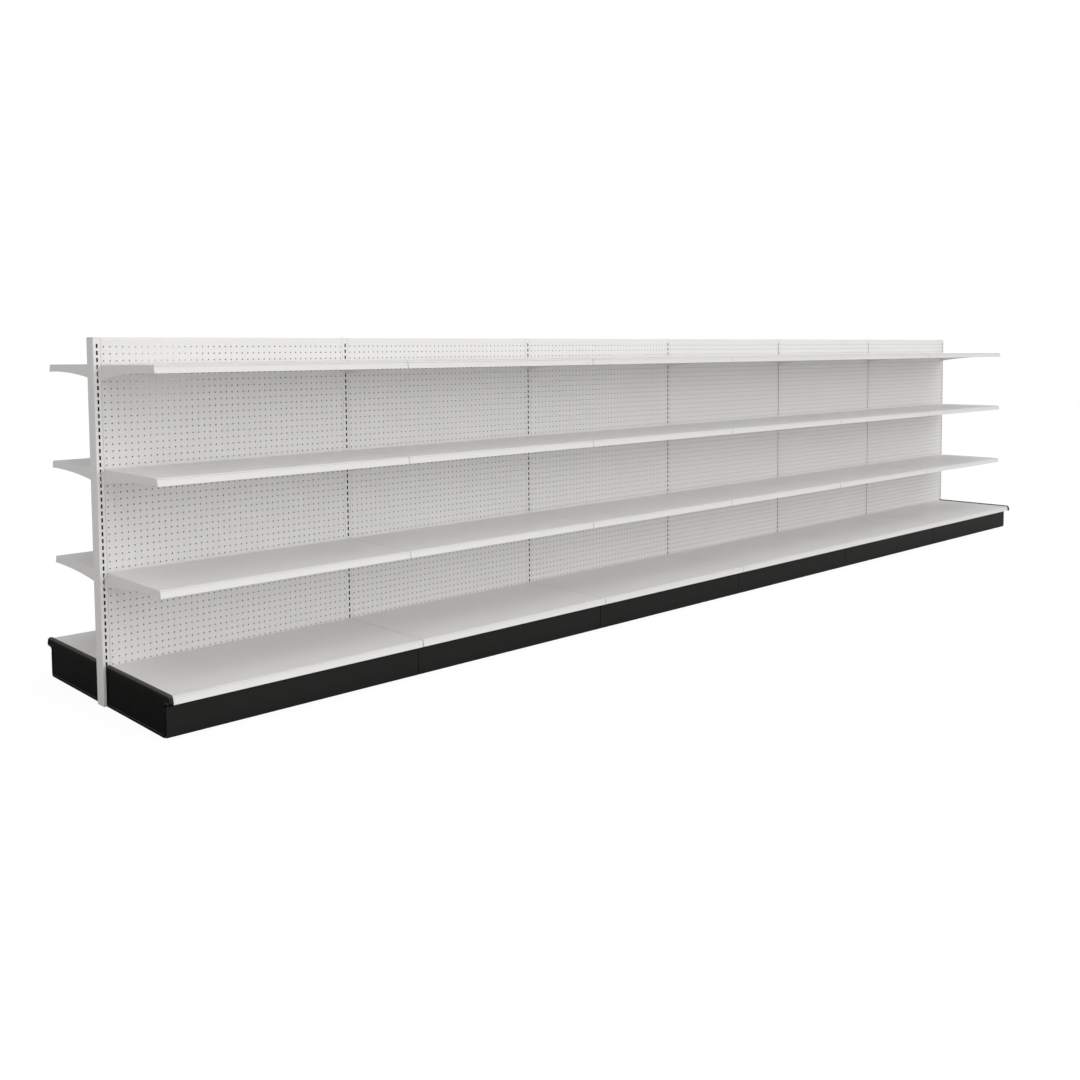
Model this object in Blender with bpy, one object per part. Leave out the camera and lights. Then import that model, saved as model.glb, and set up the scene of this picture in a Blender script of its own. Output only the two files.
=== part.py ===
"""Double-sided gondola shelving run of six bays.

Metres, +Z up. X runs along the row, -Y is the front side, +Y is the back side.
The origin is on the floor, in the middle of the row.
"""

import math

import bmesh
import bpy
from mathutils import Matrix

# --- driving dimensions -------------------------------------------------------
BAYS = 6
BAY_PITCH = 1.2192
HEIGHT = 1.543
DECK_TOP = 0.1715
SHELF_TOPS = (0.56515, 0.99695, 1.42875)
SHELF_DEPTH = 0.500
DECK_DEPTH = 0.584
KICK_SETBACK = 0.042

UPRIGHT_WIDTH = 0.033
UPRIGHT_DEPTH = 0.066
UPRIGHT_WALL = 0.002
UPRIGHT_CORNER = 0.004

SHEET = 0.0015
BRACKET_SHEET = 0.002
LEG_SHEET = 0.003
TICKET_FACE = 0.032
TICKET_LEAN = 0.008
SHELF_LIP = 0.020
DECK_LIP = 0.022
LIP_TURN_UP = 0.008
PAN_REAR_FLANGE = 0.018
BRACKET_REAR = 0.064
BRACKET_FRONT = 0.030
BRACKET_NOSE_GAP = 0.003
END_BRACKET_INSET = 0.012

SLOTS_PER_LEVEL = 15
SLOT_HEIGHT = 0.0175
SLOT_WIDTH = 0.0064
PIVOT_DROP = 0.018
TILT_CLEARANCE = 0.008
HOOK_LENGTH = 0.004
HOOK_SHEET = 0.002
HOOK_GAP = 0.0022
NECK_LOW = 0.0006
NECK_HIGH = 0.0093
LUG_RISE = 0.001
LUG_HEIGHT = 0.008

BOARD_SHEET = 0.006
BOARD_SETBACK = 0.001
WALL_RAIL = 0.018
WALL_FOOT = 0.100
TOP_GAP = 0.002

LEG_WIDTH = 0.030
LEG_REACH = 0.512
LEG_BOTTOM = 0.030
FOOT_RADIUS = 0.018
FOOT_STEM = 0.006
FOOT_PAD = 0.008
FOOT_BACK = 1.3 * FOOT_RADIUS
FLOOR_GAP = 0.003
GAP = 0.0003
REAR_GAP = 0.0008

JOINT_LINE = 0.0016
JOINT_DEPTH = 0.6 * SHEET
DECK_JOINT_RISE = 0.006
KICK_FLANGE = 0.014
KICK_TOP_GAP = 0.0012
BEYOND = 0.010

COVER_PROUD = 0.006
COVER_SHEET = 0.0075
COVER_RIM = 0.018
COVER_RIM_HEIGHT = 0.006
COVER_BORDER = 0.016
COVER_RECESS = 0.002
COVER_CORNER = 0.014
COVER_OVER_KICK = 0.0015
NOSE_RADIUS = 0.014
CHIN_RADIUS = 0.008
CHIN_DROP = 0.004
COVE_RADIUS = 0.016

# --- worked out from them -----------------------------------------------------
FACE = UPRIGHT_DEPTH / 2
UPRIGHT_X = [(i - BAYS / 2) * BAY_PITCH for i in range(BAYS + 1)]
BAY_X = [(i + 0.5 - BAYS / 2) * BAY_PITCH for i in range(BAYS)]
SLOT_PITCH = (SHELF_TOPS[1] - SHELF_TOPS[0]) / SLOTS_PER_LEVEL
PIVOT_Y = FACE - UPRIGHT_WALL / 2
RUN_END = BAYS / 2 * BAY_PITCH
COVER_OUTER = -RUN_END - COVER_PROUD
DECK_END = RUN_END + COVER_PROUD - COVER_SHEET - GAP
NOSE_BOTTOM = DECK_TOP - TICKET_FACE
KICK_REACH = DECK_DEPTH - KICK_SETBACK


def clear_scene():
    for obj in list(bpy.data.objects):
        bpy.data.objects.remove(obj, do_unlink=True)


def paint(name, colour, roughness, metallic=0.0):
    """A plain Principled material."""
    material = bpy.data.materials.new(name)
    material.use_nodes = True
    shader = material.node_tree.nodes["Principled BSDF"]
    shader.inputs["Base Color"].default_value = (*colour, 1.0)
    shader.inputs["Roughness"].default_value = roughness
    shader.inputs["Metallic"].default_value = metallic
    return material


def new_object(name, mesh):
    obj = bpy.data.objects.new(name, mesh)
    bpy.context.scene.collection.objects.link(obj)
    return obj


def add_prism(shape, outline, start, end, axis="X"):
    """Extrude a closed outline into a bmesh. Along X it is (y, z); Y (x, z); Z (x, y)."""
    places = {
        "X": lambda a, b, along: (along, a, b),
        "Y": lambda a, b, along: (a, along, b),
        "Z": lambda a, b, along: (a, b, along),
    }
    place = places[axis]
    ring = [shape.verts.new(place(a, b, start)) for a, b in outline]
    face = shape.faces.new(ring)
    swept = bmesh.ops.extrude_face_region(shape, geom=[face])
    moved = [item for item in swept["geom"] if isinstance(item, bmesh.types.BMVert)]
    shift = place(0.0, 0.0, end - start)
    bmesh.ops.translate(shape, verts=moved, vec=shift)


def add_box(shape, low, high):
    outline = [(low[1], low[2]), (high[1], low[2]), (high[1], high[2]), (low[1], high[2])]
    add_prism(shape, outline, low[0], high[0])


def add_disc(shape, centre, radius, low, high, sides=12):
    turn = 2 * math.pi / sides
    outline = [
        (centre[0] + radius * math.cos(k * turn), centre[1] + radius * math.sin(k * turn))
        for k in range(sides)
    ]
    add_prism(shape, outline, low, high, axis="Z")


def finish_mesh(shape, name):
    """Point every face outward and hand back a mesh."""
    bmesh.ops.recalc_face_normals(shape, faces=shape.faces)
    mesh = bpy.data.meshes.new(name)
    shape.to_mesh(mesh)
    shape.free()
    return mesh


def carve(name, base, *steps):
    """Apply union and difference steps to a base mesh, each (operation, mesh)."""
    working = new_object(name + "_base", base)
    tools = []
    for number, (operation, mesh) in enumerate(steps):
        tool = new_object(f"{name}_tool_{number}", mesh)
        tool.hide_render = True
        tool.display_type = "WIRE"
        tools.append(tool)
        modifier = working.modifiers.new(operation.lower(), "BOOLEAN")
        modifier.operation = operation
        modifier.solver = "EXACT"
        modifier.object = tool
    graph = bpy.context.evaluated_depsgraph_get()
    mesh = bpy.data.meshes.new_from_object(working.evaluated_get(graph))
    mesh.name = name
    for obj in [working, *tools]:
        bpy.data.objects.remove(obj, do_unlink=True)
    return mesh


def mirrored_mesh(source, name):
    """The same mesh seen in a mirror across X, with its faces still outward."""
    shape = bmesh.new()
    shape.from_mesh(source)
    bmesh.ops.transform(shape, matrix=Matrix.Diagonal((-1.0, 1.0, 1.0, 1.0)), verts=shape.verts)
    bmesh.ops.reverse_faces(shape, faces=shape.faces)
    mesh = bpy.data.meshes.new(name)
    shape.to_mesh(mesh)
    shape.free()
    return mesh


def arc(centre, radius, start_deg, end_deg, steps):
    """Points on an arc, both ends included."""
    points = []
    for k in range(steps + 1):
        angle = math.radians(start_deg + (end_deg - start_deg) * k / steps)
        points.append((centre[0] + radius * math.cos(angle), centre[1] + radius * math.sin(angle)))
    return points


# --- uprights -----------------------------------------------------------------
def upright_outline():
    """The tube's section in plan, with rounded corners."""
    half_x = UPRIGHT_WIDTH / 2 - UPRIGHT_CORNER
    half_y = UPRIGHT_DEPTH / 2 - UPRIGHT_CORNER
    outline = []
    for centre, start in (
        ((half_x, half_y), 0),
        ((-half_x, half_y), 90),
        ((-half_x, -half_y), 180),
        ((half_x, -half_y), 270),
    ):
        outline += arc(centre, UPRIGHT_CORNER, start, start + 90, 2)
    return outline


def leg_section(low_x, side):
    """A C channel seen from the front: its web stands at low_x, its flanges point to side."""
    top = DECK_TOP - SHEET - 4 * GAP
    far = low_x + side * LEG_WIDTH
    web = low_x + side * LEG_SHEET
    return [
        (low_x, LEG_BOTTOM),
        (far, LEG_BOTTOM),
        (far, LEG_BOTTOM + LEG_SHEET),
        (web, LEG_BOTTOM + LEG_SHEET),
        (web, top - LEG_SHEET),
        (far, top - LEG_SHEET),
        (far, top),
        (low_x, top),
    ]


def upright_mesh(name, leg_x):
    """A slotted tube, closed on top, with a base leg and a levelling foot on each side."""
    tube = bmesh.new()
    add_prism(tube, upright_outline(), FLOOR_GAP, HEIGHT, axis="Z")
    legs = bmesh.new()
    stems = bmesh.new()
    pads = bmesh.new()
    foot_x = leg_x + FOOT_RADIUS + 2 * GAP
    for side in (-1, 1):
        near = side * (FACE - UPRIGHT_WALL / 2)
        far = side * (FACE + LEG_REACH)
        add_prism(legs, leg_section(leg_x, 1), near, far, axis="Y")
        centre = (foot_x, side * (FACE + LEG_REACH - FOOT_BACK))
        add_disc(stems, centre, FOOT_STEM, FOOT_PAD / 2, LEG_BOTTOM + LEG_SHEET / 2, sides=8)
        add_disc(pads, centre, FOOT_RADIUS, 0.0, FOOT_PAD)
    hollow = bmesh.new()
    inner_x = UPRIGHT_WIDTH / 2 - UPRIGHT_WALL
    inner_y = UPRIGHT_DEPTH / 2 - UPRIGHT_WALL
    add_box(hollow, (-inner_x, -inner_y, -BEYOND), (inner_x, inner_y, HEIGHT - UPRIGHT_WALL))
    slots = bmesh.new()
    for shelf_top in SHELF_TOPS:
        for row in range(2):
            low = shelf_top - PIVOT_DROP - row * SLOT_PITCH
            for side in (-1, 1):
                inside, outside = sorted((side * (inner_y - GAP), side * (FACE + BEYOND)))
                add_box(
                    slots,
                    (-SLOT_WIDTH / 2, inside, low),
                    (SLOT_WIDTH / 2, outside, low + SLOT_HEIGHT),
                )
    return carve(
        name,
        finish_mesh(tube, "tube"),
        ("UNION", finish_mesh(legs, "legs")),
        ("UNION", finish_mesh(stems, "stems")),
        ("UNION", finish_mesh(pads, "pads")),
        ("DIFFERENCE", finish_mesh(hollow, "hollow")),
        ("DIFFERENCE", finish_mesh(slots, "slots")),
    )


def build_uprights(material):
    """Legs sit under the middle of an inner upright and clear of the end covers at the ends."""
    middle = upright_mesh("upright_middle", -LEG_WIDTH / 2)
    end = upright_mesh("upright_end", COVER_SHEET - COVER_PROUD + 2 * GAP)
    for number, x in enumerate(UPRIGHT_X):
        is_end = number in (0, BAYS)
        obj = new_object(f"upright_{number + 1}", end if is_end else middle)
        obj.location = (x, 0.0, 0.0)
        if number == BAYS:
            obj.rotation_euler = (0.0, 0.0, math.pi)
        obj.data.materials.clear()
        obj.data.materials.append(material)


# --- back walls ---------------------------------------------------------------
def build_back_walls(material):
    """Two perforated boards back to back, joined by a top rail and a bottom rail."""
    outer_y = FACE - BOARD_SETBACK
    inner_y = outer_y - BOARD_SHEET
    top = HEIGHT - TOP_GAP
    half = BAY_PITCH / 2 - UPRIGHT_WIDTH / 2 - 2 * GAP
    slab = bmesh.new()
    add_box(slab, (-half, -outer_y, WALL_FOOT), (half, outer_y, top))
    hollow = bmesh.new()
    low = (-half - BEYOND, -inner_y, WALL_FOOT + WALL_RAIL)
    high = (half + BEYOND, inner_y, top - WALL_RAIL)
    add_box(hollow, low, high)
    mesh = carve("back_wall", finish_mesh(slab, "slab"), ("DIFFERENCE", finish_mesh(hollow, "space")))
    mesh.materials.append(material)
    for number, x in enumerate(BAY_X):
        obj = new_object(f"back_wall_{number + 1}", mesh)
        obj.location = (x, 0.0, 0.0)


# --- upper shelves ------------------------------------------------------------
def pan_outline():
    """Side section of the pan, from its hinge line: flat top and a folded front channel."""
    rear = -(TILT_CLEARANCE + UPRIGHT_WALL / 2)
    front = -(SHELF_DEPTH + UPRIGHT_WALL / 2)
    top = PIVOT_DROP
    bottom = top - TICKET_FACE
    return [
        (rear, top),
        (front + TICKET_LEAN, top),
        (front, bottom),
        (front + SHELF_LIP, bottom),
        (front + SHELF_LIP, bottom + LIP_TURN_UP),
        (front + SHELF_LIP - SHEET, bottom + LIP_TURN_UP),
        (front + SHELF_LIP - SHEET, bottom + SHEET),
        (front + SHEET, bottom + SHEET),
        (front + TICKET_LEAN + SHEET, top - SHEET),
        (rear - SHEET, top - SHEET),
        (rear - SHEET, top - PAN_REAR_FLANGE),
        (rear, top - PAN_REAR_FLANGE),
    ]


BRACKET_HEEL_Y = -(UPRIGHT_WALL / 2 + REAR_GAP)
BRACKET_HEEL_Z = PIVOT_DROP - BRACKET_REAR


def hook_points():
    """The hook over the slot's edge and the lug in the next slot, from top to bottom."""
    tooth_gap = UPRIGHT_WALL / 2 + HOOK_GAP
    tooth_back = tooth_gap + HOOK_SHEET
    lug_low = LUG_RISE - SLOT_PITCH
    lug_high = lug_low + LUG_HEIGHT
    return [
        (BRACKET_HEEL_Y, NECK_HIGH),
        (tooth_back, NECK_HIGH),
        (tooth_back, -HOOK_LENGTH),
        (tooth_gap, -HOOK_LENGTH),
        (tooth_gap, NECK_LOW),
        (BRACKET_HEEL_Y, NECK_LOW),
        (BRACKET_HEEL_Y, lug_high),
        (tooth_gap, lug_high),
        (tooth_gap, lug_low),
        (BRACKET_HEEL_Y, lug_low),
    ]


def bracket_outline(rear_points):
    """Side section of a shelf bracket, from its hinge line: rear points, curved foot, top."""
    top = PIVOT_DROP - SHEET / 2
    front = -(SHELF_DEPTH + UPRIGHT_WALL / 2) + BRACKET_NOSE_GAP
    front_bottom = PIVOT_DROP - BRACKET_FRONT
    rise = front_bottom - BRACKET_HEEL_Z
    points = [(BRACKET_HEEL_Y - TILT_CLEARANCE, top), *rear_points]
    points.append((BRACKET_HEEL_Y, BRACKET_HEEL_Z))
    steps = 5
    for k in range(1, steps + 1):
        along = k / steps
        y = BRACKET_HEEL_Y + (front - BRACKET_HEEL_Y) * along
        points.append((y, BRACKET_HEEL_Z + rise * (1 - (1 - along) ** 2)))
    points.append((front + TICKET_LEAN, top))
    return points


def add_hooked_bracket(shape, outer):
    """A bracket whose hooks are in its own plane, from x = outer inward to the right."""
    cut_back = (BRACKET_HEEL_Y - TILT_CLEARANCE, PIVOT_DROP - BRACKET_NOSE_GAP - SHEET)
    outline = bracket_outline([cut_back, *hook_points()])
    add_prism(shape, outline, outer, outer + BRACKET_SHEET)


def add_inset_bracket(plate, hooks, flange, outer, inset):
    """A bracket set in from its hooks, joined to them by a flange that lies on the upright."""
    plate_x = outer + inset
    add_prism(plate, bracket_outline([(BRACKET_HEEL_Y, -GAP)]), plate_x, plate_x + BRACKET_SHEET)
    fold = BRACKET_HEEL_Y - BRACKET_SHEET
    low = (outer, fold, BRACKET_HEEL_Z)
    high = (plate_x + BRACKET_SHEET / 2, BRACKET_HEEL_Y, -GAP)
    add_box(flange, low, high)
    tab = [(fold, NECK_HIGH), *hook_points(), (BRACKET_HEEL_Y, BRACKET_HEEL_Z + BEYOND / 2)]
    tab.append((fold, BRACKET_HEEL_Z + BEYOND / 2))
    add_prism(hooks, tab, outer + GAP, outer + GAP + BRACKET_SHEET)


def shelf_mesh(name, inset):
    """Pan and two brackets as one welded shelf; the local origin is on the hinge line.

    The left end, and its bracket, are set in by the inset.
    """
    half = BAY_PITCH / 2 - 2 * GAP
    pan = bmesh.new()
    add_prism(pan, pan_outline(), -half + inset + GAP, half - GAP)
    right = bmesh.new()
    add_hooked_bracket(right, half - BRACKET_SHEET)
    left = bmesh.new()
    steps = [("UNION", finish_mesh(right, "right_bracket"))]
    if inset:
        hooks = bmesh.new()
        flange = bmesh.new()
        add_inset_bracket(left, hooks, flange, -half, inset)
        steps.append(("UNION", finish_mesh(left, "left_bracket")))
        steps.append(("UNION", finish_mesh(flange, "left_flange")))
        steps.append(("UNION", finish_mesh(hooks, "left_hooks")))
    else:
        add_hooked_bracket(left, -half)
        steps.append(("UNION", finish_mesh(left, "left_bracket")))
    return carve(name, finish_mesh(pan, "pan"), *steps)


def build_shelves(material):
    """The two end bays have shelves whose outer brackets are set in from the end upright."""
    inner = shelf_mesh("shelf", 0.0)
    left_end = shelf_mesh("shelf_left_end", END_BRACKET_INSET)
    right_end = mirrored_mesh(left_end, "shelf_right_end")
    for mesh in (inner, left_end, right_end):
        mesh.materials.clear()
        mesh.materials.append(material)
    for side, turn, sign in (("front", 0.0, -1), ("back", math.pi, 1)):
        first, last = (left_end, right_end) if side == "front" else (right_end, left_end)
        for bay, x in enumerate(BAY_X):
            mesh = {0: first, BAYS - 1: last}.get(bay, inner)
            for level, shelf_top in enumerate(SHELF_TOPS):
                obj = new_object(f"shelf_{side}_{bay + 1}_{level + 1}", mesh)
                obj.location = (x, sign * PIVOT_Y, shelf_top - PIVOT_DROP)
                obj.rotation_euler = (0.0, 0.0, turn)


# --- base ---------------------------------------------------------------------
def joint_cutter(low_y, high_y, low_z, high_z):
    """Thin boxes at the inner uprights that score a joint line between bays."""
    cutter = bmesh.new()
    half = JOINT_LINE / 2
    for x in UPRIGHT_X[1:-1]:
        add_box(cutter, (x - half, low_y, low_z), (x + half, high_y, high_z))
    return finish_mesh(cutter, "joint_lines")


def deck_outline():
    """Side section of the front base deck."""
    rear = -(FACE + REAR_GAP)
    front = -(FACE + DECK_DEPTH)
    lip = front + DECK_LIP
    return [
        (rear, DECK_TOP),
        (front + TICKET_LEAN, DECK_TOP),
        (front, NOSE_BOTTOM),
        (lip, NOSE_BOTTOM),
        (lip, NOSE_BOTTOM + LIP_TURN_UP),
        (lip - SHEET, NOSE_BOTTOM + LIP_TURN_UP),
        (lip - SHEET, NOSE_BOTTOM + SHEET),
        (front + SHEET, NOSE_BOTTOM + SHEET),
        (front + TICKET_LEAN + SHEET, DECK_TOP - SHEET),
        (rear, DECK_TOP - SHEET),
    ]


def build_decks(material):
    deck = bmesh.new()
    add_prism(deck, deck_outline(), -DECK_END, DECK_END)
    face = -(FACE + DECK_DEPTH)
    top_lines = joint_cutter(face - BEYOND, -FACE, DECK_TOP - JOINT_DEPTH, DECK_TOP + BEYOND)
    front_lines = joint_cutter(
        face - BEYOND, face + JOINT_DEPTH, NOSE_BOTTOM - BEYOND, NOSE_BOTTOM + DECK_JOINT_RISE
    )
    mesh = carve(
        "base_deck",
        finish_mesh(deck, "deck"),
        ("DIFFERENCE", top_lines),
        ("DIFFERENCE", front_lines),
    )
    mesh.materials.append(material)
    new_object("base_deck_front", mesh)
    back = new_object("base_deck_back", mesh)
    back.rotation_euler = (0.0, 0.0, math.pi)


def build_kickplates(material):
    """Black plates that close the base below the decks."""
    face = -(FACE + KICK_REACH)
    top = NOSE_BOTTOM - KICK_TOP_GAP
    rear = face + KICK_FLANGE
    outline = [
        (face, FLOOR_GAP),
        (face, top),
        (rear, top),
        (rear, top - SHEET),
        (face + SHEET, top - SHEET),
        (face + SHEET, FLOOR_GAP + SHEET),
        (rear, FLOOR_GAP + SHEET),
        (rear, FLOOR_GAP),
    ]
    plate = bmesh.new()
    add_prism(plate, outline, -DECK_END, DECK_END)
    lines = joint_cutter(face - BEYOND, face + JOINT_DEPTH, -BEYOND, top + BEYOND)
    mesh = carve("kickplate", finish_mesh(plate, "plate"), ("DIFFERENCE", lines))
    mesh.materials.append(material)
    new_object("kickplate_front", mesh)
    back = new_object("kickplate_back", mesh)
    back.rotation_euler = (0.0, 0.0, math.pi)


def cover_outline():
    """Side section of a base end cover: rounded nose, cove below it, flat front, cut corner."""
    rear = -(FACE + REAR_GAP)
    nose = -(FACE + DECK_DEPTH + GAP + COVER_RIM_HEIGHT)
    top = DECK_TOP + GAP + COVER_RIM_HEIGHT
    kick = -(FACE + KICK_REACH + COVER_OVER_KICK)
    chin = NOSE_BOTTOM - CHIN_DROP
    brow = nose + TICKET_LEAN + NOSE_RADIUS
    outline = [(rear, FLOOR_GAP), (rear, top)]
    outline += arc((brow, top - NOSE_RADIUS), NOSE_RADIUS, 90, 165, 4)
    outline += arc((nose + CHIN_RADIUS, chin + CHIN_RADIUS), CHIN_RADIUS, 165, 270, 3)
    outline += arc((kick - COVE_RADIUS, chin - COVE_RADIUS), COVE_RADIUS, 90, 0, 4)
    outline += [(kick, FLOOR_GAP + COVER_CORNER), (kick + COVER_CORNER, FLOOR_GAP)]
    return outline


def cover_recess_outline():
    """The sunk panel in the cover's outer face, framed by the rolled top and a border."""
    rear = -(FACE + COVER_BORDER)
    front = -(FACE + KICK_REACH - 0.5 * COVER_BORDER)
    top = DECK_TOP - 1.6 * COVER_BORDER
    bottom = FLOOR_GAP + 0.5 * COVER_BORDER
    return [
        (rear, bottom),
        (rear, top),
        (front, top),
        (front, bottom + COVER_CORNER),
        (front + COVER_CORNER, bottom),
    ]


def cover_mesh():
    """The front cover of the left end, in place: a moulded plate with a rim over the deck edge."""
    shell = bmesh.new()
    add_prism(shell, cover_outline(), COVER_OUTER, COVER_OUTER + COVER_RIM)
    inside = bmesh.new()
    nose = -(FACE + DECK_DEPTH + GAP)
    kick = -(FACE + KICK_REACH + GAP)
    cut = [
        (-FACE + BEYOND, -BEYOND),
        (-FACE + BEYOND, DECK_TOP + GAP),
        (nose + TICKET_LEAN, DECK_TOP + GAP),
        (nose, NOSE_BOTTOM - GAP),
        (kick, NOSE_BOTTOM - GAP),
        (kick, -BEYOND),
    ]
    add_prism(inside, cut, COVER_OUTER + COVER_SHEET, COVER_OUTER + COVER_RIM + BEYOND)
    recess = bmesh.new()
    add_prism(recess, cover_recess_outline(), COVER_OUTER - BEYOND, COVER_OUTER + COVER_RECESS)
    return carve(
        "end_cover",
        finish_mesh(shell, "shell"),
        ("DIFFERENCE", finish_mesh(inside, "inside")),
        ("DIFFERENCE", finish_mesh(recess, "recess")),
    )


def build_covers(material):
    left = cover_mesh()
    right = mirrored_mesh(left, "end_cover_mirrored")
    for name, mesh, turn in (
        ("end_cover_left_front", left, 0.0),
        ("end_cover_right_back", left, math.pi),
        ("end_cover_right_front", right, 0.0),
        ("end_cover_left_back", right, math.pi),
    ):
        obj = new_object(name, mesh)
        obj.rotation_euler = (0.0, 0.0, turn)
    for mesh in (left, right):
        mesh.materials.append(material)


clear_scene()
white_paint = paint("white_powder_coat", (0.78, 0.78, 0.77), 0.45)
board_paint = paint("white_hardboard", (0.60, 0.60, 0.59), 0.55)
black_plastic = paint("black_plastic", (0.022, 0.021, 0.020), 0.40)
build_uprights(white_paint)
build_back_walls(board_paint)
build_shelves(white_paint)
build_decks(white_paint)
build_kickplates(black_plastic)
build_covers(black_plastic)
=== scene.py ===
"""Looks for a double-sided gondola run: detailed sheet-metal surfaces and painted finishes.

Metres, +Z up, X along the row, -Y is the front side. Every size is read from the fixed frame
or named below. Each piece is an outline, a profile or a grid worked out as whole arrays.
"""

import math

import bpy
import numpy as np
from mathutils import Matrix, Vector


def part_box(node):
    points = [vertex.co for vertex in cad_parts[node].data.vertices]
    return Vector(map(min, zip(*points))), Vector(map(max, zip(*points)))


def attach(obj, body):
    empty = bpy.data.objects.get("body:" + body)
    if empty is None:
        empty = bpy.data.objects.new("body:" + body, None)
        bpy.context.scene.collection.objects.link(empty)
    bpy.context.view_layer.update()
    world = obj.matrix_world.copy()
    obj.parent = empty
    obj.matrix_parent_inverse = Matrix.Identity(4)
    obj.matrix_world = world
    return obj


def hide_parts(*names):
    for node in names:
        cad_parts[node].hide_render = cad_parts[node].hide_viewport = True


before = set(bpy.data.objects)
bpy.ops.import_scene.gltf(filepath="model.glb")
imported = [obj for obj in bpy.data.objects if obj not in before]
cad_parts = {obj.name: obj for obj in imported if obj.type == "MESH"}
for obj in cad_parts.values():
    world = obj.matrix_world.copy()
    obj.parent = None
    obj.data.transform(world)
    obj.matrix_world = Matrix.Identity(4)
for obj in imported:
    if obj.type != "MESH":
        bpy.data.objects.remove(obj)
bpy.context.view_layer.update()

# --- sizes read from the frame ------------------------------------------------
ROOT = "row_frame"
BAYS = sum(name.startswith("back_wall_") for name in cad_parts)
LEVELS = sum(name.startswith("shelf_front_1_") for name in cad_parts)
HALF_JOINT = 0.0006
OPEN_JOINT = 0.0017
SHELF_LOW, SHELF_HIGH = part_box("shelf_front_1_1")
BAY = SHELF_HIGH.x - SHELF_LOW.x + 2 * HALF_JOINT
POST_X = [SHELF_LOW.x - HALF_JOINT + i * BAY for i in range(BAYS + 1)]
BAY_X = [(POST_X[i] + POST_X[i + 1]) / 2 for i in range(BAYS)]
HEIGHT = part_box("upright_1")[1].z
POST_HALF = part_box(f"upright_{BAYS + 1}")[1].x - POST_X[-1]
FACE = -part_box("end_cover_left_front")[1].y - 0.0008
SHELF_FRONT = SHELF_LOW.y
SHELF_TOP = [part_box(f"shelf_front_1_{k + 1}")[1].z for k in range(LEVELS)]
BRACKET_DROP = SHELF_HIGH.z - SHELF_LOW.z
DECK_LOW, DECK_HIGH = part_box("base_deck_front")
KICK_LOW, KICK_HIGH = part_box("kickplate_front")
WALL_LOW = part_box("back_wall_1")[0]
COVER_LOW, COVER_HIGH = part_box("end_cover_left_front")
TICKET_FACE = DECK_HIGH.z - DECK_LOW.z

# --- sizes of the finer work --------------------------------------------------
SHEET = 0.0010
LEAN = 0.008
PAN_GAP = 0.008
PAN_SKIRT = 0.018
DECK_SKIRT = 0.014
BRACKET_SHEET = 0.0020
POST_WALL = 0.0020
POST_CORNER = 0.0028
CAP_HEIGHT = 0.008
CAP_EASE = 0.0042
SLOT_PITCH = (SHELF_TOP[1] - SHELF_TOP[0]) / 15
SLOT_HEIGHT = 0.0175
SLOT_WIDTH = 0.0074
SLOT_CUT = 0.0010
SLOT_DROP = 0.00925
SLOT_SIDE = 0.0060
HINGE_Y = -(FACE - POST_WALL / 2)
HINGE_DROP = 0.018
HEEL_Y = HINGE_Y - POST_WALL / 2 - 0.0008
NECK_RISE = 0.0093
PEGS_ACROSS = 43
PEG_PITCH = BAY / (PEGS_ACROSS + 1)
PEG_RISE = SLOT_PITCH
PEG_RADIUS = 0.0032
BOARD_SHEET = 0.0050
FIRST_PEG_DROP = 0.041
RAIL_HEIGHT = 0.017
SILL_HEIGHT = 0.030
RAIL_SHEET = 0.0012
END_INSET = 0.012
FENCE_PITCH = BAY / 48
FENCE_RADIUS = 0.0021
FENCE_BACK = 0.016
LEG_REACH = 0.512
LEG_WIDTH = 0.030
LEG_LOW = 0.030
LEG_SHEET = 0.003
LEG_AT_END = 0.0021
FOOT_IN = 0.0186
KICK_SHEET = 0.0012
STRAP_HALF = 0.016

# --- (radius, height) profiles of the levelling foot ----------------------------
PAD_RADIUS = 0.0180
PAD_PROFILE = [(0.0165, 0.0), (PAD_RADIUS, 0.0012), (PAD_RADIUS, 0.0046), (0.0168, 0.0062),
               (0.0090, 0.0078), (0.0062, 0.0080)]
STUD_PROFILE = [(0.0040, 0.0081), (0.0046, 0.0090), (0.0046, 0.0440), (0.0040, 0.0450)]
NUT_PROFILE = [(0.0080, 0.0215), (0.0092, 0.0225), (0.0092, 0.0285), (0.0080, 0.0295)]


# --- outlines -----------------------------------------------------------------
def outline_area(outline):
    """Half the sum of cross products of neighbouring corners: positive when counter-clockwise."""
    after = np.roll(outline, -1, axis=0)
    return 0.5 * np.sum(outline[:, 0] * after[:, 1] - after[:, 0] * outline[:, 1])


def turned_left(outline):
    """The same closed outline, running counter-clockwise."""
    return outline if outline_area(outline) > 0 else outline[::-1]


def arc(centre, radius, start, end, steps):
    """Points at equal angles from start to end degrees, both kept."""
    angle = np.radians(np.linspace(start, end, steps + 1))
    return np.stack([centre[0] + radius * np.cos(angle), centre[1] + radius * np.sin(angle)], 1)


def eight_sided(radius):
    """Eight corners on a circle, the first pair astride +u: a round hole in a grid cell."""
    angle = np.radians(np.arange(8) * 45.0 - 22.5)
    return radius * np.stack([np.cos(angle), np.sin(angle)], 1)


def run_length(path):
    """Distance along a path at each of its points: the running sum of its steps."""
    return np.concatenate([[0], np.cumsum(np.linalg.norm(np.diff(path, axis=0), axis=1))])


def points_along(path, distance, u):
    """Points at distances u along a path, in straight lines between its own points."""
    return np.stack([np.interp(u, distance, path[:, k]) for k in (0, 1)], 1)


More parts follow.
